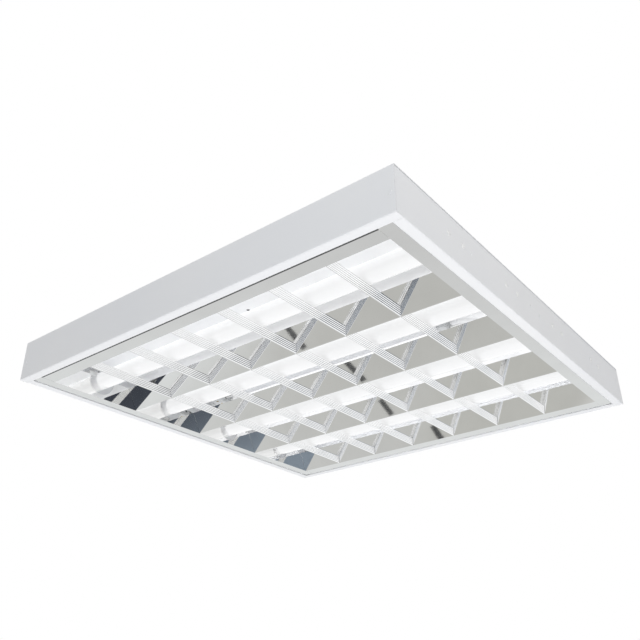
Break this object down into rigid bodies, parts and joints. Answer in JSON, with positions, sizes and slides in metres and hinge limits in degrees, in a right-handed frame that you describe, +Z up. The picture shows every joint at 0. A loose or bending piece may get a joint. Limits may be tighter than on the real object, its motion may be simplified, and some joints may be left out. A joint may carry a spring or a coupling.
{
  "type": "recessed troffer light",
  "caption": "Square white sheet steel troffer light with long tubes behind a hinged mirror louvre of V blades and ribbed cross blades.",
  "frame": {"origin": "middle of the flange's underside, the face that looks down into the room", "axes": "+X along the tubes, +Y across them towards the hinged edge of the louvre, +Z up into the ceiling"},
  "size_m": [0.6226, 0.621, 0.058],
  "materials": {
    "white_enamel": "smooth white stove enamel",
    "white_rivet": "white enamel over steel",
    "white_plastic": "moulded white plastic",
    "bright_aluminium": "bright anodised mirror finish",
    "ribbed_aluminium": "bright anodised, rolled ribs",
    "tube_glass": "white coated glass tube",
    "cap_aluminium": "satin",
    "pin_brass": "turned",
    "grey_plastic": "moulded grey plastic",
    "spring_steel": "bright spring steel",
    "wire_insulation": "white insulation",
    "earth_insulation": "yellow and green insulation"
  },
  "bodies": {
    "housing": {"ballast_base": "white_enamel", "ballast_connectors": "grey_plastic", "ballast_cover": "white_enamel", "ballast_screws": "spring_steel", "body_rivets": "white_rivet", "catch_springs": "spring_steel", "earth_nut": "pin_brass", "earth_stud": "pin_brass", "earth_wire": "earth_insulation", "end_plate_east": "white_enamel", "end_plate_west": "white_enamel", "hinge_brackets": "spring_steel", "housing_tray": "white_enamel", "lampholder_east_1": "white_plastic", "lampholder_east_2": "white_plastic", "lampholder_east_3": "white_plastic", "lampholder_east_4": "white_plastic", "lampholder_west_1": "white_plastic", "lampholder_west_2": "white_plastic", "lampholder_west_3": "white_plastic", "lampholder_west_4": "white_plastic", "loom_clips": "white_plastic", "loom_east": "wire_insulation", "loom_west": "wire_insulation", "supply_wires": "wire_insulation", "terminal_block": "grey_plastic", "terminal_cover": "grey_plastic", "terminal_screws": "pin_brass"},
    "louvre": {"cross_blades_1": "ribbed_aluminium", "cross_blades_2": "ribbed_aluminium", "cross_blades_3": "ribbed_aluminium", "cross_blades_4": "ribbed_aluminium", "cross_blades_5": "ribbed_aluminium", "cross_blades_6": "ribbed_aluminium", "hinge_pins": "spring_steel", "louvre_corner_plates": "bright_aluminium", "louvre_end_east": "bright_aluminium", "louvre_end_west": "bright_aluminium", "louvre_side_north": "bright_aluminium", "louvre_side_south": "bright_aluminium", "louvre_spine_1": "bright_aluminium", "louvre_spine_2": "bright_aluminium", "louvre_spine_3": "bright_aluminium"},
    "lamp_1": {"lamp_1_caps": "cap_aluminium", "lamp_1_pins": "pin_brass", "lamp_1_rotors": "white_plastic", "lamp_1_tube": "tube_glass"},
    "lamp_2": {"lamp_2_caps": "cap_aluminium", "lamp_2_pins": "pin_brass", "lamp_2_rotors": "white_plastic", "lamp_2_tube": "tube_glass"},
    "lamp_3": {"lamp_3_caps": "cap_aluminium", "lamp_3_pins": "pin_brass", "lamp_3_rotors": "white_plastic", "lamp_3_tube": "tube_glass"},
    "lamp_4": {"lamp_4_caps": "cap_aluminium", "lamp_4_pins": "pin_brass", "lamp_4_rotors": "white_plastic", "lamp_4_tube": "tube_glass"}
  },
  "joints": [
    {"name": "louvre_hinge", "type": "hinge", "parent": "housing", "child": "louvre", "pos_m": [0, 0.292, 0.0046], "axis": [1, 0, 0], "range_deg": [0, 90]},
    {"name": "lamp_1_turn", "type": "hinge", "parent": "housing", "child": "lamp_1", "pos_m": [0, -0.1995, 0.028], "axis": [1, 0, 0], "range_deg": [0, 90]},
    {"name": "lamp_2_turn", "type": "hinge", "parent": "housing", "child": "lamp_2", "pos_m": [0, -0.0665, 0.028], "axis": [1, 0, 0], "range_deg": [0, 90]},
    {"name": "lamp_3_turn", "type": "hinge", "parent": "housing", "child": "lamp_3", "pos_m": [0, 0.0665, 0.028], "axis": [1, 0, 0], "range_deg": [0, 90]},
    {"name": "lamp_4_turn", "type": "hinge", "parent": "housing", "child": "lamp_4", "pos_m": [0, 0.1995, 0.028], "axis": [1, 0, 0], "range_deg": [0, 90]}
  ]
}
